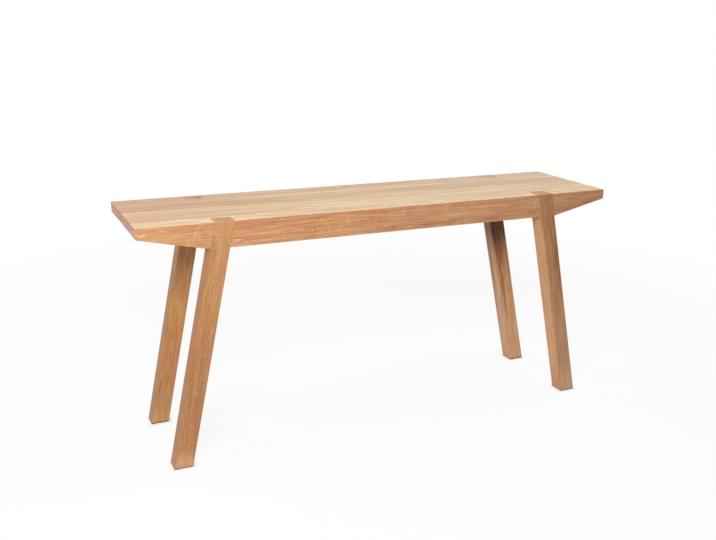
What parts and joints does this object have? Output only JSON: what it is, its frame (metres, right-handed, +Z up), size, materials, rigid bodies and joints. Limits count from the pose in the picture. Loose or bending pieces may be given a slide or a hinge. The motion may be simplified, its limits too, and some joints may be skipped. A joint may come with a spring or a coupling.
{
  "type": "bench",
  "caption": "Long narrow solid oak bench: thin-edged seat between deep edge rails with tapered ends, on straight square legs splayed lengthwise and let flush through the seat's edges.",
  "frame": {"origin": "on the floor under the middle of the seat", "axes": "+X along the bench, +Y from the front edge to the rear edge, +Z up"},
  "size_m": [1, 0.25, 0.47],
  "materials": {
    "oak_rail": "oiled oak, satin",
    "oak_seat": "oiled oak, satin",
    "oak_leg": "oiled oak, satin",
    "oak_cross_rail": "planed oak",
    "beech_dowel": "plain",
    "screw_steel": "zinc plated"
  },
  "bodies": {
    "root": {"front_rail": "oak_rail", "rear_rail": "oak_rail", "seat_stave_1": "oak_seat", "seat_stave_2": "oak_seat", "seat_stave_3": "oak_seat", "seat_stave_4": "oak_seat", "leg_front_left": "oak_leg", "leg_front_right": "oak_leg", "leg_rear_left": "oak_leg", "leg_rear_right": "oak_leg", "cross_rail_left": "oak_cross_rail", "cross_rail_right": "oak_cross_rail", "dowels": "beech_dowel", "seat_screws": "screw_steel"}
  },
  "joints": []
}
